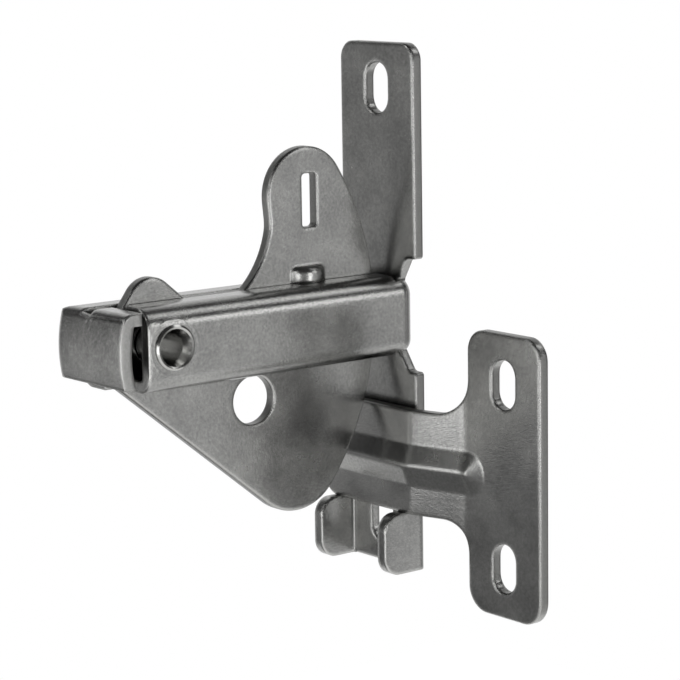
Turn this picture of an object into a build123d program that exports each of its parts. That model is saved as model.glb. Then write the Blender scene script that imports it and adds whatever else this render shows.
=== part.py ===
from build123d import *
import os
from math import acos, atan2, cos, degrees, hypot, radians, sin, sqrt, tan

# Gate latch: a folded sheet body, a swinging latch plate, the hollow rivet
# that carries it and the keeper that is caught behind it. Millimetres.
# The origin is the middle of the mounting face of the body. X runs along the
# width of the strap, the bar points to -Y and Z is up.

# Sheet and general fits
SHEET = 4.0                 # every pressed piece is punched from this sheet
EDGE = 0.5                  # break that tumbling leaves on punched edges
HOLE_EDGE = 0.25            # the same in the small holes of the latch plate
PLATE_GAP = 0.6             # side room of the latch plate in its slits
PIVOT_GAP = 0.3             # room of the latch plate round the rivet
RIVET_FIT = 0.05            # room of the rivet in the two wall holes
TOUCH = 0.01                # how near a corner lies to the place it is picked by

# Strap
STRAP_WIDTH = 39.0
STRAP_HEIGHT = 181.0
STRAP_CORNER = 6.0
SLOT_WIDTH = 11.5           # for M10 bolts, with room to adjust
SLOT_LENGTH = 17.4
SLOT_SPACING = 150.0

# Pivot
PIVOT_DISTANCE = 100.5      # mounting face to the pivot
PIVOT_Z = -1.4
RIVET_OD = 12.0
RIVET_BORE = 9.0
RIVET_HEAD = 14.8
RIVET_LIP = 1.0             # how far the flared ends stand out of the walls
RIVET_MOUTH = 12.2          # bore at the very end of the flare
RIVET_FLARE = 3.0           # depth of the flare, from the end
LIFT_STOP = 85.0            # lift at which the hump meets the nose, degrees

# Bar
BAR_WIDTH = 31.0
BAR_TOP = 11.7
BAR_BOTTOM = -15.8
WALL_LEAD = 10.0            # pivot to the front end of the near wall
ROLL_TOP = 6.8              # outer bend radius of the upper rolled edges
ROLL_BOTTOM = 5.5           # outer bend radius of the lower rolled edges
STRAP_BEND = 5.5            # outer bend radius where the walls leave the strap
NOSE_SLANT = 0.10           # the nose leads at the far corner, mm per mm
NOSE_END = 19.5             # free end of the nose, from the middle plane
NOSE_BOTTOM = -12.4         # lower edge of the nose at its free end
NOSE_CLIMB = 1.2            # how much higher that edge is at the far corner
NOSE_CORNER = 5.0           # outer bend radius of the upright nose corner
NOSE_CROWN = 46.0           # radius of the slightly domed front of the nose
NOSE_CROWN_Z = -2.0         # height at which that dome stands out most
NOSE_ROLL = 3.4             # outer radius of the folded top edge of the nose
NOSE_FOLD = 0.6             # inner radius of the same fold
NOSE_DEPTH = 10.0           # where the lower roll of the far wall stops, behind the nose
NOSE_LIP = 6.0              # top lip of the nose, behind its inner face

# Reliefs that let the bar fold out of the strap
NECK = 10.0                 # half width of the sheet left between the bends
RELIEF_TOP = 17.6
RELIEF_TOP_RUN = 4.6        # how far the upper relief leans outwards
RELIEF_BOTTOM = -21.4
RELIEF_FLOOR_RUN = 5.3      # how far the lower relief leans outwards
RELIEF_CORNER = 2.5
RELIEF_SHOULDER = 1.2       # rounding of the outer corners of the reliefs
WING_TRIM = 1.9             # the walls stop this far short at the strap bend
FLANGE_REAR = 7.5           # rear end of the rolled flanges

# Bottom flanges of the strap
FLANGE_TOP = -69.3
FLANGE_DEPTH = 18.6         # mounting face to the front edge
FLANGE_CORNER = 6.0
FLANGE_BEND = 3.0           # outer radius; the inner bend is pressed sharp
FLANGE_INNER = 0.8

# Latch plate, outline measured from the pivot as (Y, Z)
REAR_GAP = 3.3              # room between its rear edge and the strap
HUMP_CENTRE = (0.7, 11.75)
HUMP_RADIUS = 9.3
HUMP_FRONT_FOOT = (-12.8, 9.1)
HUMP_REAR_FOOT = (13.8, 12.9)
TOE_Y = -16.2
EAR_ANGLE = 33.6            # direction of the ear's centre from the pivot
EAR_RADIUS = 16.1
EAR_WAIST = (-15.6, -11.1)  # from the ear's centre
EAR_FOOT = 26.6             # in front of the ear's centre
EAR_HOLLOW = 33.0           # radius of the hollow in front of the ear
LOBE_ANGLE = -37.7          # direction of the lobe's centre from the pivot
LOBE_RADIUS = 20.0
LEAD_IN = 38.6              # slope of the lead-in edge, degrees
PADLOCK_HOLE = 16.5
HOLE_ZONE = 12.0            # every rim of a hole lies this near its centre
PADLOCK_BACK = 40.5         # hole centre behind the pivot
PADLOCK_ROOM = 1.7          # from the bar down to the hole
EAR_SLOT = (6.0, 18.2)
EAR_SLOT_AT = (1.2, -2.1)   # from the ear's centre
EAR_SLOT_CORNER = 1.4

# Pressed stop of the latch plate
STOP_WIDTH = 13.8
STOP_HEIGHT = 5.4
STOP_RISE = 4.0             # how far it stands out of the plate
STOP_CROWN = 2.0            # rounding of its top
STOP_WALL = 3.2             # sheet left at its crest
STOP_REST = 0.05            # room between the stop and the flange at rest

# Keeper
KEEPER_MIDDLE = 63.6        # from the middle plane of the strap
KEEPER_WIDTH = 35.6
KEEPER_TOP = -2.6
KEEPER_BOTTOM = -98.4
KEEPER_TOP_CORNER = 7.5
KEEPER_LOW_CORNER = 8.5
KEEPER_SLOT_WIDTH = 11.0
KEEPER_SLOT_LENGTH = 16.6
KEEPER_SLOT_SPACING = 62.0
ARM_TOP = -33.0
ARM_BOTTOM = FLANGE_TOP     # the arm rests on the two flanges
ARM_FILLET_TOP = 13.5
ARM_FILLET_LOW = 10.5
ARM_END = -24.0             # free end of the arm
ARM_FRONT = -10.0           # front face of the arm, behind the latch plate
ARM_CORNER = 6.0
JOGGLE_INNER = 22.8         # where the arm starts to bend back
JOGGLE_OUTER = 44.2         # where it meets the keeper plate
JOGGLE_BEND = 8.0           # inner bend radius of the keeper
RIB_WIDTH = 14.5
RIB_DROP = 0.7              # the rib runs this far below the middle of the arm
RIB_RISE = 2.8
RIB_ROOT = 0.6              # how far the rib is let into the sheet
RIB_CREST = 3.0
RIB_END = 46.6              # where the rib dies out on the keeper plate

# Sizes that follow from the ones above
HALF_STRAP = STRAP_WIDTH / 2
HALF_BAR = BAR_WIDTH / 2
HALF_HEIGHT = STRAP_HEIGHT / 2
HALF_SLIT = SHEET / 2 + PLATE_GAP
PIVOT_Y = -PIVOT_DISTANCE
REAR_RADIUS = PIVOT_DISTANCE - SHEET - REAR_GAP
BAR_LENGTH = PIVOT_DISTANCE + WALL_LEAD
FLANGE_SEAT = BAR_TOP - PIVOT_Z
EAR_CENTRE = (
    (REAR_RADIUS - EAR_RADIUS) * cos(radians(EAR_ANGLE)),
    (REAR_RADIUS - EAR_RADIUS) * sin(radians(EAR_ANGLE)))
PADLOCK_AT = (PADLOCK_BACK, BAR_BOTTOM - PADLOCK_ROOM - PADLOCK_HOLE / 2 - PIVOT_Z)
ARM_MIDDLE = (ARM_TOP + ARM_BOTTOM) / 2
KEEPER_CENTRE_Z = (KEEPER_TOP + KEEPER_BOTTOM) / 2
WIDE = STRAP_HEIGHT         # wider than any piece that it cuts through

# The hump turns about the pivot until it meets the inner face of the nose.
HUMP_ARM = hypot(*HUMP_CENTRE)
HUMP_TURNED = atan2(HUMP_CENTRE[1], HUMP_CENTRE[0]) + radians(LIFT_STOP)
HUMP_REACH = HUMP_RADIUS - HUMP_ARM * cos(HUMP_TURNED)
SLANT_LENGTH = hypot(1, NOSE_SLANT)
NOSE_FRONT = PIVOT_DISTANCE + HUMP_REACH + SHEET * SLANT_LENGTH
NOSE_JOIN = NOSE_FRONT - NOSE_DEPTH


def block(x_range, y_range, z_range):
    """A box between two values on each axis."""
    size = [b - a for a, b in (x_range, y_range, z_range)]
    middle = [(a + b) / 2 for a, b in (x_range, y_range, z_range)]
    return Pos(*middle) * Box(*size)


def from_front(face, y_back, thickness):
    """Stands a face drawn as (X, Z) upright and thickens it towards -Y."""
    return Pos(0, y_back, 0) * extrude(Plane.XZ * face, thickness, (0, -1, 0))


def from_side(face, x_from, x_to):
    """Thickens a face drawn as (Y, Z) between two X values."""
    return Pos(x_from, 0, 0) * extrude(Plane.YZ * face, x_to - x_from, (1, 0, 0))


def obround(width, length):
    """A slot outline with full round ends, long side upright."""
    return Rot(0, 0, 90) * SlotOverall(length, width)


def round_corners(face, radius, wanted):
    """Rounds the corners of a flat outline that a test picks out."""
    return fillet(face.vertices().filter_by(wanted), radius)


def tumble(sheet, axis, width=EDGE):
    """Breaks the rims of a flat pressed piece as tumbling leaves them."""
    rims = sheet.faces().filter_by(axis).edges()
    return chamfer(rims, width)


# The latch body, all of one folded sheet

def strap_web():
    """The flat mounting strap, with its two slots and its neck at the bar."""
    right = [
        (HALF_STRAP, HALF_HEIGHT),
        (HALF_STRAP, RELIEF_TOP),
        (NECK + RELIEF_TOP_RUN, RELIEF_TOP),
        (NECK, BAR_TOP - WING_TRIM),
        (NECK, BAR_BOTTOM + WING_TRIM),
        (NECK + RELIEF_FLOOR_RUN, RELIEF_BOTTOM),
        (HALF_STRAP, RELIEF_BOTTOM),
        (HALF_STRAP, FLANGE_TOP),
        (HALF_STRAP - SHEET, FLANGE_TOP),
        (HALF_STRAP - SHEET, -HALF_HEIGHT),
    ]
    left = [(-x, z) for x, z in reversed(right)]
    face = make_face(Polyline(*right, *left, close=True))

    def relief(v):
        return RELIEF_BOTTOM - TOUCH < v.Y < RELIEF_TOP + TOUCH

    def shoulder(v):
        return relief(v) and abs(v.X) > HALF_STRAP - TOUCH

    def inner(v):
        return relief(v) and abs(v.X) < NECK + RELIEF_FLOOR_RUN + TOUCH

    face = round_corners(face, STRAP_CORNER, lambda v: v.Y > HALF_HEIGHT - TOUCH)
    face = round_corners(face, RELIEF_SHOULDER, shoulder)
    face = round_corners(face, RELIEF_CORNER, inner)
    slot = obround(SLOT_WIDTH, SLOT_LENGTH)
    face -= Pos(0, SLOT_SPACING / 2) * slot
    face -= Pos(0, -SLOT_SPACING / 2) * slot
    return tumble(from_front(face, 0, SHEET), Axis.Y)


def rolled_top(wall, right, bottom):
    """The outline of the bar as (X, Z), drawn in by one wall, with its upper bends."""
    far = -HALF_BAR + wall
    top = BAR_TOP - wall
    face = make_face(Polyline((far, bottom), (right, bottom), (right, top), (far, top), close=True))
    bent = min(right, HALF_BAR) + TOUCH
    return round_corners(face, ROLL_TOP - wall, lambda v: v.Y > 0 and v.X < bent)


def bar_form(wall):
    """The bar as a closed block, drawn in on every side by one wall."""
    section = rolled_top(wall, HALF_BAR - wall, BAR_BOTTOM + wall)
    section = round_corners(section, ROLL_BOTTOM - wall, lambda v: v.Y < 0)
    form = from_front(section, -wall, NOSE_JOIN - wall)
    bends = form.edges().filter_by(Axis.Z).group_by(Axis.Y)[-1]
    return fillet(bends, STRAP_BEND - wall)


def nose_form(wall, fold):
    """The nose as a closed block, drawn in by one wall and open at its free end."""
    far = -HALF_BAR + wall
    length = (NOSE_END + wall - far) * SLANT_LENGTH
    crown = NOSE_CROWN - wall
    front = -NOSE_FRONT + wall * SLANT_LENGTH + (far - SHEET / 2) * NOSE_SLANT

    def at(z):
        return (front + crown - sqrt(crown ** 2 - (z - NOSE_CROWN_Z) ** 2), z)

    def side(bottom, top):
        rear = -NOSE_JOIN + SHEET
        return make_face([
            Line((rear, bottom), (rear, top)),
            Line((rear, top), at(top)),
            ThreePointArc(at(top), at(NOSE_CROWN_Z), at(bottom)),
            Line(at(bottom), (rear, bottom)),
        ])

    start = Plane(origin=(far, 0, 0), x_dir=(0, 1, 0), z_dir=(1, 0, 0))
    along = Vector(1, NOSE_SLANT, 0).normalized()
    floor = BAR_BOTTOM - SHEET
    domed = extrude(start * side(floor, BAR_TOP + SHEET), length, along)
    upright = domed.edges().filter_by(GeomType.CIRCLE).sort_by(Axis.X)[0]
    domed = fillet(upright, NOSE_CORNER - wall)
    folded = round_corners(side(floor, BAR_TOP - wall), fold, lambda v: v.Y > 0 and v.X < -NOSE_JOIN)
    rolled = extrude(start * folded, length, along)
    rolled &= from_front(rolled_top(wall, WIDE, floor), -NOSE_JOIN, WIDE)
    return rolled & domed


def nose():
    """The far wall carried round the front, with a folded top and a plain lower edge."""
    shell = nose_form(0, NOSE_ROLL) - nose_form(SHEET, NOSE_FOLD)
    floor = BAR_BOTTOM - SHEET
    below = make_face(Polyline(
        (-HALF_BAR - SHEET, floor), (NOSE_END + SHEET, floor),
        (NOSE_END + SHEET, NOSE_BOTTOM), (NOSE_END, NOSE_BOTTOM),
        (-HALF_BAR, NOSE_BOTTOM + NOSE_CLIMB), (-HALF_BAR - SHEET, NOSE_BOTTOM + NOSE_CLIMB), close=True))
    shell -= from_front(below, 0, WIDE)
    inner_face = -NOSE_FRONT + SHEET + (NOSE_END - SHEET / 2) * NOSE_SLANT
    shell -= block((HALF_SLIT, WIDE), (inner_face + NOSE_LIP, 0), (-WIDE, WIDE))
    shell -= block((-HALF_SLIT, HALF_SLIT), (-NOSE_FRONT + SHEET / 2, 0), (0, WIDE))
    return shell


def bar():
    """Two walls with rolled edges and the bends that join them to the strap."""
    shell = bar_form(0) - bar_form(SHEET)
    shell -= block((HALF_SLIT, WIDE), (-WIDE, -BAR_LENGTH), (-WIDE, WIDE))
    floor = BAR_BOTTOM + SHEET
    roof = BAR_TOP - SHEET
    middle = (-NECK, NECK)
    rear = (-FLANGE_REAR, 1)
    shell -= block(middle, rear, (roof, WIDE))
    shell -= block(middle, rear, (-WIDE, floor))
    for side in (-1, 1):
        sides = sorted((side * NECK, side * WIDE))
        shell -= block(sides, rear, (BAR_TOP - WING_TRIM, WIDE))
        shell -= block(sides, rear, (-WIDE, BAR_BOTTOM + WING_TRIM))
    slit = (-HALF_SLIT, HALF_SLIT)
    shell -= block(slit, (-WIDE, 0), (roof - SHEET / 2, WIDE))
    shell -= block(slit, (-WIDE, 0), (-WIDE, floor + SHEET / 2))
    return shell + block((-NECK, NECK), (-SHEET, 0), (floor, roof))


def bottom_flanges():
    """The two bends at the foot of the strap, with the flanges that carry the keeper."""
    inner = HALF_STRAP - SHEET
    foot = block((-HALF_STRAP, HALF_STRAP), (-FLANGE_DEPTH, 0), (-HALF_HEIGHT, FLANGE_TOP))
    foot = fillet(foot.edges().filter_by(Axis.Z).group_by(Axis.Y)[-1], FLANGE_BEND)
    well = block((-inner, inner), (-WIDE, -SHEET), (-WIDE * 2, 0))
    foot -= fillet(well.edges().filter_by(Axis.Z).group_by(Axis.Y)[-1], FLANGE_INNER)
    flat = inner - FLANGE_INNER
    foot -= block((-flat, flat), (-WIDE, 1), (-WIDE * 2, 0))
    front = -FLANGE_DEPTH
    side = make_face(Polyline(
        (0, FLANGE_TOP), (front, FLANGE_TOP), (front, -HALF_HEIGHT), (0, -HALF_HEIGHT), close=True))
    side = round_corners(side, FLANGE_CORNER, lambda v: v.X < front / 2)
    return foot & from_side(side, -WIDE, WIDE)


def latch_body():
    """Strap, bar, nose and bottom flanges, all of one sheet."""
    body = strap_web() + bar() + nose() + bottom_flanges()
    hole = Plane.YZ * Circle(RIVET_OD / 2 + RIVET_FIT)
    body -= Pos(-WIDE / 2, PIVOT_Y, PIVOT_Z) * extrude(hole, WIDE)
    return body


# The latch plate

def on_circle(centre, radius, angle):
    """The point of a circle in a direction given in degrees."""
    return (centre[0] + radius * cos(radians(angle)), centre[1] + radius * sin(radians(angle)))


def tangent_angle(point, centre, radius, side):
    """Direction from a circle's centre to where a line from a point touches it."""
    dy = point[0] - centre[0]
    dz = point[1] - centre[1]
    return degrees(atan2(dz, dy)) + side * degrees(acos(radius / sqrt(dy * dy + dz * dz)))


def plate_outline():
    """The outline of the latch plate, as (Y, Z) from the pivot."""
    pivot = (0, 0)
    ear = EAR_CENTRE
    lobe = on_circle(pivot, REAR_RADIUS - LOBE_RADIUS, LOBE_ANGLE)
    hump_front = tangent_angle(HUMP_FRONT_FOOT, HUMP_CENTRE, HUMP_RADIUS, -1)
    hump_rear = tangent_angle(HUMP_REAR_FOOT, HUMP_CENTRE, HUMP_RADIUS, 1)
    front_touch = on_circle(HUMP_CENTRE, HUMP_RADIUS, hump_front)
    rear_touch = on_circle(HUMP_CENTRE, HUMP_RADIUS, hump_rear)
    lead_touch = on_circle(lobe, LOBE_RADIUS, -90 - LEAD_IN)
    toe_z = lead_touch[1] + (lead_touch[0] - TOE_Y) * tan(radians(LEAD_IN))
    toe = (TOE_Y, toe_z)
    ear_front = on_circle(ear, EAR_RADIUS, 180)
    ear_rear = on_circle(ear, EAR_RADIUS, EAR_ANGLE)
    lobe_rear = on_circle(lobe, LOBE_RADIUS, LOBE_ANGLE)
    foot = (ear[0] - EAR_FOOT, HUMP_REAR_FOOT[1])
    waist = (ear[0] + EAR_WAIST[0], ear[1] + EAR_WAIST[1])
    hollow = RadiusArc(foot, waist, -EAR_HOLLOW)
    return [
        Line(toe, HUMP_FRONT_FOOT),
        Line(HUMP_FRONT_FOOT, front_touch),
        ThreePointArc(front_touch, on_circle(HUMP_CENTRE, HUMP_RADIUS, 90), rear_touch),
        Line(rear_touch, HUMP_REAR_FOOT),
        Line(HUMP_REAR_FOOT, foot),
        hollow,
        Spline(waist, ear_front, tangents=[hollow % 1, (0, 1)]),
        ThreePointArc(ear_front, on_circle(ear, EAR_RADIUS, 100), ear_rear),
        ThreePointArc(ear_rear, on_circle(pivot, REAR_RADIUS, 0), lobe_rear),
        ThreePointArc(lobe_rear, on_circle(lobe, LOBE_RADIUS, -85), lead_touch),
        Line(lead_touch, toe),
    ]


def pressed_stop(grow, low, high):
    """The half round swelling of the stop, drawn in or out by one amount."""
    half = STOP_WIDTH / 2
    radius = (half ** 2 + STOP_RISE ** 2) / (2 * STOP_RISE)
    axis_x = SHEET / 2 + STOP_RISE - radius
    post = Cylinder(radius + grow, high - low, align=(Align.CENTER, Align.CENTER, Align.MIN))
    return Pos(axis_x, EAR_CENTRE[0], low) * post


def latch_plate():
    """The swinging plate, with its pressed stop, ear slot and padlock hole."""
    plate = tumble(from_side(make_face(plate_outline()), -SHEET / 2, SHEET / 2), Axis.X)
    slot_at = (EAR_CENTRE[0] + EAR_SLOT_AT[0], EAR_CENTRE[1] + EAR_SLOT_AT[1])
    holes = Pos(*PADLOCK_AT) * Circle(PADLOCK_HOLE / 2)
    holes += Pos(*slot_at) * RectangleRounded(*EAR_SLOT, EAR_SLOT_CORNER)
    holes += Circle(RIVET_OD / 2 + PIVOT_GAP)
    plate -= from_side(holes, -SHEET / 2, SHEET / 2)
    rims = plate.faces().filter_by(Axis.X).edges()
    inside = ShapeList(e for e in rims if any(
        abs(hypot(e.center().Y - y, e.center().Z - z)) < HOLE_ZONE
        for y, z in ((0, 0), PADLOCK_AT, slot_at)))
    plate = chamfer(inside, HOLE_EDGE)
    low = FLANGE_SEAT + STOP_REST
    high = low + STOP_HEIGHT
    swelling = pressed_stop(0, low, high) & block((0, WIDE), (0, WIDE * 2), (0, WIDE))
    crown = swelling.faces().sort_by(Axis.Z)[-1].edges().filter_by(GeomType.CIRCLE)
    swelling = fillet(crown, STOP_CROWN)
    hollow = pressed_stop(-STOP_WALL, low, high - STOP_WALL)
    plate = plate + swelling - hollow
    return Pos(0, PIVOT_Y, PIVOT_Z) * plate


# The pivot rivet

def pivot_rivet():
    """A hollow rivet, flared over both walls of the bar like a trumpet."""
    end = HALF_BAR + RIVET_LIP
    bore = RIVET_BORE / 2
    mouth = RIVET_MOUTH / 2
    head = RIVET_HEAD / 2
    half = [
        (RIVET_OD / 2, HALF_BAR),
        (head, HALF_BAR),
        (head, end - RIVET_LIP / 2),
        ((head + mouth) / 2, end),
        (mouth, end - RIVET_LIP / 4),
        (bore, end - RIVET_FLARE),
    ]
    other_half = [(r, -x) for r, x in reversed(half)]
    tube = revolve(Plane.XZ * make_face(Polyline(*half, *other_half, close=True)), Axis.Z)
    return Pos(0, PIVOT_Y, PIVOT_Z) * Rot(0, 90, 0) * tube


# The keeper

def keeper_plan():
    """The joggled run of the keeper's sheet, seen from above."""
    turn = atan2(-SHEET - ARM_FRONT, JOGGLE_OUTER - JOGGLE_INNER)
    shift = tan(turn / 2)
    right = KEEPER_MIDDLE + KEEPER_WIDTH / 2
    front = [(ARM_END, ARM_FRONT), (JOGGLE_INNER, ARM_FRONT), (JOGGLE_OUTER, -SHEET), (right, -SHEET)]
    back = [(ARM_END, ARM_FRONT + SHEET), (JOGGLE_INNER - SHEET * shift, ARM_FRONT + SHEET),
            (JOGGLE_OUTER - SHEET * shift, 0), (right, 0)]
    face = make_face(Polyline(*front, *reversed(back), close=True))
    inner = [front[1], back[2]]
    outer = [back[1], front[2]]

    def at(corners):
        return lambda v: any(abs(v.X - x) < TOUCH and abs(v.Y - y) < TOUCH for x, y in corners)

    face = round_corners(face, JOGGLE_BEND, at(inner))
    return round_corners(face, JOGGLE_BEND + SHEET, at(outer))


def keeper_front():
    """The keeper seen from the front: the screw plate with its arm."""
    left = KEEPER_MIDDLE - KEEPER_WIDTH / 2
    right = KEEPER_MIDDLE + KEEPER_WIDTH / 2
    face = make_face(Polyline(
        (left, KEEPER_TOP), (right, KEEPER_TOP), (right, KEEPER_BOTTOM), (left, KEEPER_BOTTOM),
        (left, ARM_BOTTOM), (ARM_END, ARM_BOTTOM), (ARM_END, ARM_TOP), (left, ARM_TOP), close=True))

    def arm_root(level):
        return lambda v: abs(v.X - left) < TOUCH and abs(v.Y - level) < TOUCH

    face = round_corners(face, ARM_FILLET_TOP, arm_root(ARM_TOP))
    face = round_corners(face, ARM_FILLET_LOW, arm_root(ARM_BOTTOM))
    face = round_corners(face, KEEPER_TOP_CORNER, lambda v: v.Y > KEEPER_TOP - TOUCH)
    face = round_corners(face, KEEPER_LOW_CORNER, lambda v: v.Y < KEEPER_BOTTOM + TOUCH)
    face = round_corners(face, ARM_CORNER, lambda v: v.X < ARM_END + TOUCH)
    slot = obround(KEEPER_SLOT_WIDTH, KEEPER_SLOT_LENGTH)
    for up in (-1, 1):
        face -= Pos(KEEPER_MIDDLE, KEEPER_CENTRE_Z + up * KEEPER_SLOT_SPACING / 2) * slot
    return face


def rib(depth, start):
    """The solid of the stiffening rib, one depth behind the arm's front face."""
    turn = atan2(-SHEET - ARM_FRONT, JOGGLE_OUTER - JOGGLE_INNER)
    back = depth * tan(turn / 2)
    points = [(start, ARM_FRONT + depth), (JOGGLE_INNER - back, ARM_FRONT + depth),
              (JOGGLE_OUTER - back, depth - SHEET), (RIB_END, depth - SHEET)]
    path = Pos(0, 0, ARM_MIDDLE - RIB_DROP) * FilletPolyline(*points, radius=JOGGLE_BEND + SHEET)
    half = RIB_WIDTH / 2
    ridge = make_face(Polyline((-half, 0), (0, RIB_RISE), (half, 0), (0, -RIB_ROOT), close=True))
    ridge = round_corners(ridge, RIB_CREST, lambda v: v.Y > TOUCH)
    run = sweep(Plane(origin=path @ 0, x_dir=(0, 0, 1), z_dir=path % 0) * ridge, path)
    end = path @ 1
    half_ridge = ridge & Pos(half, 0) * Rectangle(2 * half, 4 * half)
    tip = revolve(Plane(origin=end, x_dir=(0, 0, 1), z_dir=(1, 0, 0)) * half_ridge,
                  Axis((end.X, end.Y, end.Z), (0, 1, 0)))
    return run + tip


def rims(sheet):
    """The edges that punching leaves all round the two broad sides of a bent sheet."""
    def broad(face):
        normal = face.normal_at()
        return abs(normal.Y) > abs(normal.X) + abs(normal.Z)

    def key(edge):
        return tuple(round(value, 3) for value in (*edge.center(), edge.length))

    edges = {}
    for face in sheet.faces().filter_by(broad):
        for edge in face.edges():
            edges.setdefault(key(edge), []).append(edge)
    return ShapeList(found[0] for found in edges.values() if len(found) == 1)


def keeper():
    """The keeper plate, its joggled arm and the rib that stiffens both."""
    sheet = Pos(0, 0, KEEPER_BOTTOM) * extrude(keeper_plan(), KEEPER_TOP - KEEPER_BOTTOM)
    body = sheet & from_front(keeper_front(), WIDE, WIDE * 2)
    body = chamfer(rims(body), EDGE)
    return body + rib(0, ARM_END + EDGE) - rib(SHEET, ARM_END - SHEET)


PARTS = {
    "latch_body": latch_body,
    "latch_plate": latch_plate,
    "pivot_rivet": pivot_rivet,
    "keeper": keeper,
}

if __name__ == "__main__":
    os.makedirs("parts", exist_ok=True)
    for name, make in PARTS.items():
        solid = make()
        print(name, len(solid.solids()), round(solid.volume), solid.is_valid)
        export_step(solid, f"parts/{name}.step")
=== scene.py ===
from math import cos, pi, radians, sin

import bpy
from bpy.props import FloatProperty, FloatVectorProperty, PointerProperty
from mathutils import Matrix, Vector


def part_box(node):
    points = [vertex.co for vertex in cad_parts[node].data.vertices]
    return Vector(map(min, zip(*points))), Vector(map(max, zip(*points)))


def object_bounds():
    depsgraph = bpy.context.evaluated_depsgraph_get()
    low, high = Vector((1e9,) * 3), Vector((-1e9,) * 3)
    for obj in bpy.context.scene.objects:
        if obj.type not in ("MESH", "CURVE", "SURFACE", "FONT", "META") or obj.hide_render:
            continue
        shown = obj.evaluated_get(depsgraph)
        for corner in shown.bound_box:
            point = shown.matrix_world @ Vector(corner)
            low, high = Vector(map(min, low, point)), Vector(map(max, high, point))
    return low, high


bl_info = {
    "name": "Gate latch",
    "version": (1, 0, 0),
    "blender": (4, 5, 0),
    "location": "View3D > Sidebar > Gate latch",
    "description": "Finishes a folded sheet gate latch and sets it in a plain studio",
    "category": "Object",
}

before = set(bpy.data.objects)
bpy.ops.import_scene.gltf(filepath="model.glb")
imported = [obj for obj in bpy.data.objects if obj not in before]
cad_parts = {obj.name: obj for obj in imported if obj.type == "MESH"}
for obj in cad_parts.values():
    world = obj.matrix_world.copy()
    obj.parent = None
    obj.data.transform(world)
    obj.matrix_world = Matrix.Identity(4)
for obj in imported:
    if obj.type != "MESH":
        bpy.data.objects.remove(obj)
CAD_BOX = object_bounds()
MIDDLE = (CAD_BOX[0] + CAD_BOX[1]) / 2

MM = 0.001

# Where the punched cuts of the body lie, in mm: none at the first place, full at the second
STRAP_DEPTH = (-4.4, -4.0)
FOOT_HEIGHT = (-69.0, -68.5)
NOSE_DEPTH = (-112.6, -113.0)
NOSE_CUT = 0.4  # the nose's cut side was tumbled smoother, so it shows this share of a cut

# How straight a face looks along an axis: no cut at the first, a full cut at the second
SHEET_CUT = (0.85, 0.95)
PLATE_CUT = (0.5, 0.3)

# Cosine of the angle that a rounded rim turns by: face at the first, worn rim with its painted highlight
# at the second
RIM_TURN = (0.999, 0.9)

# The range that most of a noise lies in, and of the sum of two
NOISE_RANGE = (0.3, 0.7)
TWO_NOISES = (0.7, 1.3)

# The crumple on top of the nose: its place in m, and in mm how far it reaches at all and in full
CRUMPLE_PLACE = (0.0015, -0.1215, 0.0105)
CRUMPLE_EDGE, CRUMPLE_HEART = 6.5, 2.0
CREASE_SIZE = 2.2
CRUMPLE_HEIGHT = 5.0  # as a multiple of the ring's

RING_WIDTH = 0.7  # half the width of the tool's ring round the rivet, in mm
SMEAR_DEPTH = 0.05  # of the rivet's polish, in mm

# The room's light changes between this far below and above level, as the height of a direction
ROOM_CHANGE = 0.35

# Cosine of the angle from straight behind: no screen at the first, a full screen at the second
SCREEN_EDGE = (0.45, 0.8)

# Each lamp's name, direction from the latch, width and height in m, and how bright its face is
LAMPS = (
    ("overhead lamp", (0.3, 0.6, 0.75), (0.35, 0.35), 1.9),
    ("right high lamp", (0.78, 0.6, 0.25), (0.35, 0.3), 2.8),
    ("right low lamp", (0.78, 0.6, -0.22), (0.4, 0.6), 0.4),
    ("right front lamp", (0.97, 0.2, -0.1), (0.35, 0.35), 3.6),
    ("camera side lamp", (0.64, -0.76, -0.18), (0.3, 0.5), 3.7),
    ("front high lamp", (0.4, -0.9, 0.45), (0.35, 0.35), 2.9),
    ("front lamp", (0.4, -0.9, 0.0), (0.35, 0.35), 1.2),
    ("front left lamp", (-0.4, -0.9, -0.08), (0.35, 0.6), 2.6),
    ("front left high lamp", (-0.43, -0.62, 0.57), (0.3, 0.3), 2.4),
)


# Colours and nodes

def colour(hex_text):
    """Turns an sRGB hex colour into linear red, green, blue and alpha."""
    channels = [int(hex_text[i:i + 2], 16) / 255 for i in (1, 3, 5)]
    linear = [c / 12.92 if c <= 0.04045 else ((c + 0.055) / 1.055) ** 2.4 for c in channels]
    return (*linear, 1.0)


def add(tree, kind, inputs=None, **settings):
    """Adds a node with its settings.

    An input is a value, an output to link, or a node whose first output in use is linked.
    """
    made = tree.nodes.new(kind)
    for name, value in settings.items():
        setattr(made, name, value)
    for key, value in (inputs or {}).items():
        if isinstance(value, bpy.types.Node):
            value = next(output for output in value.outputs if output.enabled)
        if isinstance(value, bpy.types.NodeSocket):
            tree.links.new(value, made.inputs[key])
        else:
            made.inputs[key].default_value = value
    return made


def per_mm(size):
    """The texture scale at which one feature measures this many millimetres."""
    return 1 / (size * MM)


def empty_material(name):
    """A material with nothing in it yet, and its node tree."""
    material = bpy.data.materials.new(name)
    material.use_nodes = True
    material.node_tree.nodes.clear()
    return material, material.node_tree


# Sizes and colours that a user would change

def colour_choice(name, about, hex_text):
    """A colour that a user can set, written in sRGB hex."""
    return FloatVectorProperty(name=name, description=about, subtype="COLOR", size=4,
                               min=0, max=1, default=colour(hex_text))


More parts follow.
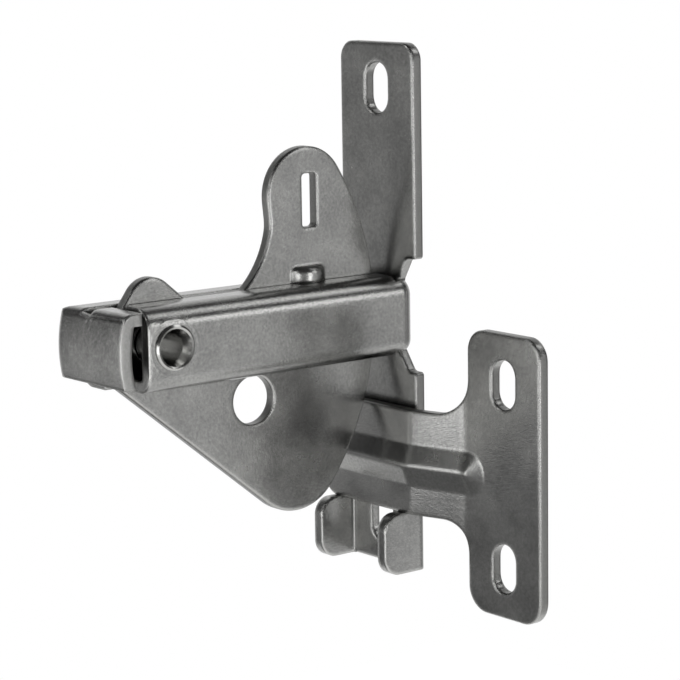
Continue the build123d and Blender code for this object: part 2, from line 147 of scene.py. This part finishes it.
class LatchSteel(bpy.types.PropertyGroup):
    """Finish of the pressed steel pieces and of the rivet.

    The real grain, pecks and shear marks are finer than a pixel of the
    photograph, which is a third of a millimetre, and are drawn as coarse as
    they need to be to show.
    """

    dark: colour_choice("Darker steel", "Colour of the darker clouds", "#838382")
    light: colour_choice("Lighter steel", "Colour of the lighter clouds", "#9F9F9D")
    cut_dark: colour_choice("Darker cut", "Colour of the dull parts of a punched cut", "#646463")
    cut_light: colour_choice("Lighter cut", "Colour of the bright parts of a punched cut", "#8E8E8C")
    # Lighter colour of every rim: partly the burnish of tumbling, partly a painted highlight along the
    # rim
    worn_and_sheen: colour_choice("Worn rim", "Colour of the rims that tumbling has brightened", "#B2B2B0")
    roughness: FloatProperty(
        name="Roughness", description="Mean roughness of the satin", default=0.24, min=0.05, max=1)
    drift: FloatProperty(
        name="Roughness drift", description="How far roughness drifts each way",
        default=0.04, min=0, max=0.3)
    relief: FloatProperty(
        name="Relief", description="Strength of grain and peck marks", default=0.3, min=0, max=1)
    grain_width: FloatProperty(
        name="Grain width", description="Width of one rolling line, mm", default=0.45, min=0.05)
    grain_length: FloatProperty(
        name="Grain length", description="Length of one rolling line, mm", default=1.0, min=0.5)
    peck_size: FloatProperty(
        name="Peck size", description="Size of one tumbling mark, mm", default=0.9, min=0.1)
    peck_depth: FloatProperty(
        name="Peck depth", description="Depth of grain and peck marks, mm", default=0.1, min=0)
    cloud_size: FloatProperty(
        name="Cloud size", description="Size of the drifts in tone, mm", default=14.0, min=1)
    shear_size: FloatProperty(
        name="Shear mark size", description="Size of one mark on a punched cut, mm",
        default=0.5, min=0.1)
    shear_depth: FloatProperty(
        name="Shear depth", description="Depth of the shear marks, against the peck marks'",
        default=5.0, min=0)
    cut_roughness: FloatProperty(
        name="Cut roughness", description="How much rougher a punched cut is",
        default=0.12, min=0, max=0.5)
    mark_depth: FloatProperty(
        name="Mark depth", description="Depth of the press marks on the bar, mm", default=0.04, min=0)
    ring_radius: FloatProperty(
        name="Ring", description="Radius of the tool mark round the rivet, mm", default=9.2, min=0)
    rim: FloatProperty(
        name="Rim", description="Width of the rounded rim of a cut, mm", default=1.7, min=0)


class LatchStudio(bpy.types.PropertyGroup):
    """Camera, floor, card, room and lamps."""

    azimuth: FloatProperty(
        name="Azimuth", description="Direction of the camera from the latch, degrees", default=51.71)
    elevation: FloatProperty(
        name="Elevation", description="Height angle of the camera, degrees", default=9.605)
    roll: FloatProperty(name="Roll", description="Tilt of the picture, degrees", default=-0.922)
    lens: FloatProperty(name="Lens", description="Focal length on a 36 mm sensor, mm", default=135.8)
    distance: FloatProperty(
        name="Distance", description="Camera to the point it looks at", subtype="DISTANCE",
        default=0.8493)
    aim: FloatVectorProperty(
        name="Aim", description="Point the camera is turned round", subtype="TRANSLATION",
        default=(0.0, -0.064, 0.0))
    aside: FloatVectorProperty(
        name="Aside", description="Camera's shift to its right and up, m", size=2,
        default=(0.033516, -0.005084))
    floor_drop: FloatProperty(
        name="Floor drop", description="Floor below the lowest point", subtype="DISTANCE", default=0.25)
    floor_half: FloatProperty(
        name="Floor half width", description="Half the floor's width", subtype="DISTANCE", default=0.6)
    floor_tint: colour_choice("Floor", "Colour of the floor", "#F4F4F2")
    floor_glow: FloatProperty(
        name="Floor glow", description="Share of white that the floor shows without light", default=0.88)
    card_tint: colour_choice("Card", "Colour of the card below the latch's front", "#E6E6E6")
    room_low: FloatProperty(
        name="Room below", description="Light level of the room below the latch", default=0.56, min=0)
    room_high: FloatProperty(
        name="Room above", description="Light level of the room above the latch", default=0.06, min=0)
    lamp_distance: FloatProperty(
        name="Lamp distance", description="Each lamp from the latch", subtype="DISTANCE", default=1.0)


# Finishes

def sheet_steel(name, look, grain_axis, cut_faces, pressed_marks=None):
    """Stainless sheet, cold rolled, then tumbled.

    Rolling leaves a fine grain along the sheet. Tumbling turns it into a soft
    even satin with faint peck marks, so reflections are broad and slightly
    clouded, and every rim is rounded and a little brighter than the faces: the
    lighter rim colour is partly burnish and partly a painted highlight.
    Punched cuts are darker and duller, with fine shear marks across them.
    """
    material, tree = empty_material(name)
    coordinates = add(tree, "ShaderNodeTexCoord").outputs
    place = coordinates["Object"]
    cut = cut_faces(tree, place, coordinates["Normal"])

    along = [1.0, 1.0, 1.0]
    along["XYZ".index(grain_axis)] = look.grain_width / look.grain_length
    stretched = add(tree, "ShaderNodeMapping", {"Vector": place, "Scale": along})
    grain, cloud, pecks, shear = (
        add(tree, "ShaderNodeTexNoise", {
            "Vector": where, "Scale": per_mm(size), "Detail": detail, "Roughness": roughness})
        for where, size, detail, roughness in (
            (stretched, look.grain_width, 3.0, 0.6),
            (place, look.cloud_size, 4.0, 0.55),
            (place, look.peck_size, 2.0, 0.5),
            (place, look.shear_size, 2.0, 0.7)))

    rounded = add(tree, "ShaderNodeBevel", {"Radius": look.rim * MM}, samples=8)
    facing = add(tree, "ShaderNodeNewGeometry").outputs["Normal"]
    turned = add(tree, "ShaderNodeVectorMath", {0: rounded, 1: facing}, operation="DOT_PRODUCT")
    # Mask of the rims, where the worn colour with its painted highlight goes
    rim = add(tree, "ShaderNodeMapRange", {
        "Value": turned, "From Min": RIM_TURN[0], "From Max": RIM_TURN[1]})

    both = add(tree, "ShaderNodeMath", {0: cloud, 1: pecks}, operation="ADD")
    mottle = add(tree, "ShaderNodeMapRange", {
        "Value": both, "From Min": TWO_NOISES[0], "From Max": TWO_NOISES[1]})
    base = add(tree, "ShaderNodeMix", {
        "Factor": mottle, "A": look.dark, "B": look.light}, data_type="RGBA")
    # Every rim is lightened: partly worn bright by tumbling, partly a painted highlight
    worn_and_sheen = add(tree, "ShaderNodeMix", {"Factor": rim, "A": base, "B": look.worn_and_sheen}, data_type="RGBA")
    sheared = add(tree, "ShaderNodeMix", {
        "Factor": shear, "A": look.cut_dark, "B": look.cut_light}, data_type="RGBA")
    tone = add(tree, "ShaderNodeMix", {"Factor": cut, "A": worn_and_sheen, "B": sheared}, data_type="RGBA")
    satin = add(tree, "ShaderNodeMapRange", {
        "Value": cloud, "From Min": NOISE_RANGE[0], "From Max": NOISE_RANGE[1],
        "To Min": look.roughness - look.drift, "To Max": look.roughness + look.drift})
    rough = add(tree, "ShaderNodeMath", {
        0: cut, 1: look.cut_roughness, 2: satin}, operation="MULTIPLY_ADD")

    fine = add(tree, "ShaderNodeMath", {0: grain, 1: pecks}, operation="ADD")
    torn = add(tree, "ShaderNodeMath", {0: shear, 1: cut}, operation="MULTIPLY")
    height = add(tree, "ShaderNodeMath", {
        0: torn, 1: look.shear_depth, 2: fine}, operation="MULTIPLY_ADD")
    under = rounded
    if pressed_marks:
        under = add(tree, "ShaderNodeBump", {
            "Height": pressed_marks(tree, place, look), "Strength": 1.0,
            "Distance": look.mark_depth * MM, "Normal": rounded})
    relief = add(tree, "ShaderNodeBump", {
        "Height": height, "Strength": look.relief,
        "Distance": look.peck_depth * MM, "Normal": under})
    shader = add(tree, "ShaderNodeBsdfPrincipled", {
        "Base Color": tone, "Metallic": 1.0, "Roughness": rough, "Normal": relief})
    add(tree, "ShaderNodeOutputMaterial", {"Surface": shader})
    return material


def turned_steel(name, look):
    """Stainless tube, turned and flared with a polished tool.

    The flared ends are smooth and bright, with faint smears round the bore.
    """
    material, tree = empty_material(name)
    place = add(tree, "ShaderNodeTexCoord").outputs["Object"]
    smear = add(tree, "ShaderNodeTexNoise", {
        "Vector": place, "Scale": per_mm(look.cloud_size / 4), "Detail": 3.0, "Roughness": 0.5})
    rough = add(tree, "ShaderNodeMapRange", {
        "Value": smear, "From Min": NOISE_RANGE[0], "From Max": NOISE_RANGE[1],
        "To Min": look.roughness - 2 * look.drift, "To Max": look.roughness})
    base = add(tree, "ShaderNodeMix", {
        "Factor": smear, "A": look.light, "B": look.worn_and_sheen}, data_type="RGBA")
    relief = add(tree, "ShaderNodeBump", {
        "Height": smear, "Strength": look.relief, "Distance": SMEAR_DEPTH * MM})
    shader = add(tree, "ShaderNodeBsdfPrincipled", {
        "Base Color": base, "Metallic": 1.0, "Roughness": rough, "Normal": relief})
    add(tree, "ShaderNodeOutputMaterial", {"Surface": shader})
    return material


def dress(node, material):
    """Gives a CAD node its finish, in place of the one it came with."""
    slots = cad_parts[node].data.materials
    slots.clear()
    slots.append(material)


# Pieces

def faces_along(tree, normal, axis):
    """One where the surface looks straight along an axis, either way."""
    part = add(tree, "ShaderNodeSeparateXYZ", {0: normal}).outputs[axis]
    size = add(tree, "ShaderNodeMath", {0: part}, operation="ABSOLUTE")
    return add(tree, "ShaderNodeMapRange", {
        "Value": size, "From Min": SHEET_CUT[0], "From Max": SHEET_CUT[1]})


def body_cuts(tree, place, normal):
    """The strap's edges, and the cut side of the nose."""
    at = add(tree, "ShaderNodeSeparateXYZ", {0: place}).outputs
    above_foot, strap, nose = (
        add(tree, "ShaderNodeMapRange", {
            "Value": at[axis], "From Min": start * MM, "From Max": end * MM})
        for axis, (start, end) in (("Z", FOOT_HEIGHT), ("Y", STRAP_DEPTH), ("Y", NOSE_DEPTH)))
    ends = add(tree, "ShaderNodeMath", {
        0: faces_along(tree, normal, "Z"), 1: strap}, operation="MULTIPLY")
    strap_side = add(tree, "ShaderNodeMath", {0: strap, 1: above_foot}, operation="MULTIPLY")
    nose_side = add(tree, "ShaderNodeMath", {0: nose, 1: NOSE_CUT}, operation="MULTIPLY")
    either = add(tree, "ShaderNodeMath", {0: strap_side, 1: nose_side}, operation="MAXIMUM")
    sides = add(tree, "ShaderNodeMath", {
        0: faces_along(tree, normal, "X"), 1: either}, operation="MULTIPLY")
    return add(tree, "ShaderNodeMath", {0: ends, 1: sides}, operation="MAXIMUM")


def plate_cuts(tree, place, normal):
    """Every face of the flat plate that isn't one of its two sides."""
    part = add(tree, "ShaderNodeSeparateXYZ", {0: normal}).outputs["X"]
    size = add(tree, "ShaderNodeMath", {0: part}, operation="ABSOLUTE")
    return add(tree, "ShaderNodeMapRange", {
        "Value": size, "From Min": PLATE_CUT[0], "From Max": PLATE_CUT[1]})


def keeper_cuts(tree, place, normal):
    """The keeper's edges, above, below and at both sides."""
    return add(tree, "ShaderNodeMath", {
        0: faces_along(tree, normal, "Z"), 1: faces_along(tree, normal, "X")}, operation="MAXIMUM")


def bar_marks(tree, place, look):
    """The tool's ring round the rivet, and the crumple on top of the nose."""
    low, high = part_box("pivot_rivet")
    pivot = (low + high) / 2
    flat = add(tree, "ShaderNodeVectorMath", {0: place, 1: (0, 1, 1)}, operation="MULTIPLY")
    out = add(tree, "ShaderNodeVectorMath", {
        0: flat, 1: (0, pivot.y, pivot.z)}, operation="DISTANCE")
    off = add(tree, "ShaderNodeMath", {0: out, 1: look.ring_radius * MM}, operation="SUBTRACT")
    off = add(tree, "ShaderNodeMath", {0: off}, operation="ABSOLUTE")
    ring = add(tree, "ShaderNodeMapRange", {
        "Value": off, "From Min": RING_WIDTH * MM, "From Max": 0})
    crease = add(tree, "ShaderNodeTexNoise", {
        "Vector": place, "Scale": per_mm(CREASE_SIZE), "Detail": 1.0, "Roughness": 0.5})
    away = add(tree, "ShaderNodeVectorMath", {0: place, 1: CRUMPLE_PLACE}, operation="DISTANCE")
    near = add(tree, "ShaderNodeMapRange", {
        "Value": away, "From Min": CRUMPLE_EDGE * MM, "From Max": CRUMPLE_HEART * MM})
    crumple = add(tree, "ShaderNodeMath", {0: crease, 1: near}, operation="MULTIPLY")
    return add(tree, "ShaderNodeMath", {
        0: crumple, 1: CRUMPLE_HEIGHT, 2: ring}, operation="MULTIPLY_ADD")


class GATE_LATCH_OT_body(bpy.types.Operator):
    """Finish the folded body: strap, bar, nose and foot"""

    bl_idname = "gate_latch.body"
    bl_label = "Finish the latch body"

    def execute(self, context):
        look = context.scene.latch_steel
        dress("latch_body", sheet_steel(
            "stainless sheet, cold rolled and tumbled", look, "Y", body_cuts, bar_marks))
        return {"FINISHED"}


class GATE_LATCH_OT_plate(bpy.types.Operator):
    """Finish the swinging latch plate"""

    bl_idname = "gate_latch.plate"
    bl_label = "Finish the latch plate"

    def execute(self, context):
        look = context.scene.latch_steel
        dress("latch_plate", sheet_steel(
            "stainless plate, punched and tumbled", look, "Z", plate_cuts))
        return {"FINISHED"}


class GATE_LATCH_OT_rivet(bpy.types.Operator):
    """Finish the hollow rivet that carries the plate"""

    bl_idname = "gate_latch.rivet"
    bl_label = "Finish the pivot rivet"

    def execute(self, context):
        look = context.scene.latch_steel
        dress("pivot_rivet", turned_steel("stainless tube, turned and flared", look))
        return {"FINISHED"}


class GATE_LATCH_OT_keeper(bpy.types.Operator):
    """Finish the joggled keeper"""

    bl_idname = "gate_latch.keeper"
    bl_label = "Finish the keeper"

    def execute(self, context):
        look = context.scene.latch_steel
        dress("keeper", sheet_steel("stainless sheet, pressed and tumbled", look, "X", keeper_cuts))
        return {"FINISHED"}


# Stage

def square_board(name, side, material):
    """A flat square that belongs to the stage and not to the latch."""
    half = side / 2
    corners = [(x * half, y * half, 0) for x, y in ((-1, -1), (1, -1), (1, 1), (-1, 1))]
    mesh = bpy.data.meshes.new(name)
    mesh.from_pydata(corners, [], [(0, 1, 2, 3)])
    mesh.materials.append(material)
    board = bpy.data.objects.new(name, mesh)
    bpy.context.scene.collection.objects.link(board)
    return board


def studio_floor(studio):
    """A pale floor below the latch, white but for the latch's soft shadow.

    Rays from the camera, and reflected and refracted ones, see it glow.
    """
    material, tree = empty_material("matt white board")
    path = add(tree, "ShaderNodeLightPath").outputs
    seen = add(tree, "ShaderNodeMath", {
        0: path["Is Camera Ray"], 1: path["Is Glossy Ray"]}, operation="ADD")
    seen = add(tree, "ShaderNodeMath", {
        0: seen, 1: path["Is Transmission Ray"]}, operation="ADD", use_clamp=True)
    glow = add(tree, "ShaderNodeMath", {0: seen, 1: studio.floor_glow}, operation="MULTIPLY")
    board = add(tree, "ShaderNodeBsdfDiffuse", {"Color": studio.floor_tint})
    shine = add(tree, "ShaderNodeEmission", {"Strength": glow})
    both = add(tree, "ShaderNodeAddShader", {0: board, 1: shine})
    add(tree, "ShaderNodeOutputMaterial", {"Surface": both})
    floor = square_board("studio_floor", 2 * studio.floor_half, material)
    floor.location = (MIDDLE.x, MIDDLE.y, CAD_BOX[0].z - studio.floor_drop)


def grey_card(studio, toward, distance, side):
    """A card that only reflections see; it keeps the undersides dark."""
    material, tree = empty_material("grey card")
    paper = add(tree, "ShaderNodeBsdfDiffuse", {"Color": studio.card_tint})
    add(tree, "ShaderNodeOutputMaterial", {"Surface": paper})
    card = square_board("grey_card", side, material)
    way = Vector(toward).normalized()
    card.location = MIDDLE + way * distance
    card.rotation_euler = (-way).to_track_quat("Z", "Y").to_euler()
    card.visible_camera = card.visible_diffuse = card.visible_shadow = False


def facing_camera(studio):
    """Directions from the latch: to the camera, to its right, and upright."""
    turn, rise = radians(studio.azimuth), radians(studio.elevation)
    back = Vector((sin(turn) * cos(rise), -cos(turn) * cos(rise), sin(rise)))
    right = Vector((cos(turn), sin(turn), 0))
    return back, right, back.cross(right)


def studio_world(studio):
    """A white screen behind the latch, in a grey room that is darker above.

    The camera sees white all round, and reflections see the screen and the room.
    """
    world = bpy.data.worlds.new("studio")
    world.use_nodes = True
    tree = world.node_tree
    tree.nodes.clear()
    back, _, _ = facing_camera(studio)
    way = add(tree, "ShaderNodeTexCoord").outputs["Generated"]
    path = add(tree, "ShaderNodeLightPath").outputs
    height = add(tree, "ShaderNodeSeparateXYZ", {0: way}).outputs["Z"]
    room = add(tree, "ShaderNodeMapRange", {
        "Value": height, "From Min": -ROOM_CHANGE, "From Max": ROOM_CHANGE,
        "To Min": studio.room_low, "To Max": studio.room_high}, interpolation_type="SMOOTHSTEP")
    behind = add(tree, "ShaderNodeVectorMath", {
        0: way, 1: (-back.x, -back.y, 0)}, operation="DOT_PRODUCT")
    screen = add(tree, "ShaderNodeMapRange", {
        "Value": behind, "From Min": SCREEN_EDGE[0], "From Max": SCREEN_EDGE[1]},
        interpolation_type="SMOOTHSTEP")
    mirrored = add(tree, "ShaderNodeMath", {
        0: path["Is Glossy Ray"], 1: screen}, operation="MULTIPLY")
    seen = add(tree, "ShaderNodeMath", {
        0: path["Is Camera Ray"], 1: path["Is Transmission Ray"]}, operation="ADD")
    white = add(tree, "ShaderNodeMath", {0: seen, 1: mirrored}, operation="ADD", use_clamp=True)
    level = add(tree, "ShaderNodeMix", {"Factor": white, "A": room, "B": 1.0})
    sky = add(tree, "ShaderNodeBackground", {"Color": (1, 1, 1, 1), "Strength": level})
    add(tree, "ShaderNodeOutputWorld", {"Surface": sky})
    bpy.context.scene.world = world


def soft_box(name, toward, distance, size, brightness):
    """A rectangular lamp in a direction from the latch, turned to face it.

    Its brightness is that of its face, where 1 is white.
    """
    way = Vector(toward).normalized()
    lamp = bpy.data.lights.new(name, "AREA")
    lamp.shape = "RECTANGLE"
    lamp.size, lamp.size_y = size
    lamp.energy = brightness * pi * lamp.size * lamp.size_y
    holder = bpy.data.objects.new(name, lamp)
    holder.location = MIDDLE + way * distance
    holder.rotation_euler = (-way).to_track_quat("-Z", "Y").to_euler()
    holder.visible_camera = False
    bpy.context.scene.collection.objects.link(holder)


def studio_camera(studio):
    """The camera at the viewing angle of the photograph."""
    back, level, upright = facing_camera(studio)
    roll = radians(studio.roll)
    right = level * cos(roll) + upright * sin(roll)
    up = upright * cos(roll) - level * sin(roll)
    eye = Vector(studio.aim) + right * studio.aside[0] + up * studio.aside[1] + back * studio.distance
    data = bpy.data.cameras.new("camera")
    data.lens = studio.lens
    data.sensor_width = 36
    data.clip_start = 0.01
    data.clip_end = 20
    camera = bpy.data.objects.new("camera", data)
    turned = Matrix((right, up, back)).transposed().to_4x4()
    camera.matrix_world = Matrix.Translation(eye) @ turned
    bpy.context.scene.collection.objects.link(camera)
    bpy.context.scene.camera = camera


class GATE_LATCH_OT_stage(bpy.types.Operator):
    """Set up the floor, the room, the card, the lamps and the camera"""

    bl_idname = "gate_latch.stage"
    bl_label = "Set the stage"

    def execute(self, context):
        studio = context.scene.latch_studio
        studio_floor(studio)
        studio_world(studio)
        grey_card(studio, toward=(-0.35, -0.5, -0.79), distance=0.26, side=0.3)
        for name, toward, size, brightness in LAMPS:
            soft_box(name, toward, studio.lamp_distance, size, brightness)
        studio_camera(studio)
        context.scene.view_settings.view_transform = "Standard"
        return {"FINISHED"}


class GATE_LATCH_PT_sidebar(bpy.types.Panel):
    """Buttons and values for the gate latch"""

    bl_idname = "GATE_LATCH_PT_sidebar"
    bl_label = "Gate latch"
    bl_space_type = "VIEW_3D"
    bl_region_type = "UI"
    bl_category = "Gate latch"

    def draw(self, context):
        for operator in OPERATORS:
            self.layout.operator(operator.bl_idname)
        for group in (context.scene.latch_steel, context.scene.latch_studio):
            box = self.layout.box()
            for name in group.__annotations__:
                box.prop(group, name)


OPERATORS = (
    GATE_LATCH_OT_body, GATE_LATCH_OT_plate, GATE_LATCH_OT_rivet, GATE_LATCH_OT_keeper,
    GATE_LATCH_OT_stage)
CLASSES = (LatchSteel, LatchStudio, *OPERATORS, GATE_LATCH_PT_sidebar)


def register():
    for each in CLASSES:
        bpy.utils.register_class(each)
    bpy.types.Scene.latch_steel = PointerProperty(type=LatchSteel)
    bpy.types.Scene.latch_studio = PointerProperty(type=LatchStudio)


def unregister():
    del bpy.types.Scene.latch_studio
    del bpy.types.Scene.latch_steel
    for each in reversed(CLASSES):
        bpy.utils.unregister_class(each)


def main():
    register()
    bpy.ops.gate_latch.body()
    bpy.ops.gate_latch.plate()
    bpy.ops.gate_latch.rivet()
    bpy.ops.gate_latch.keeper()
    bpy.ops.gate_latch.stage()


if __name__ == "__main__":
    main()
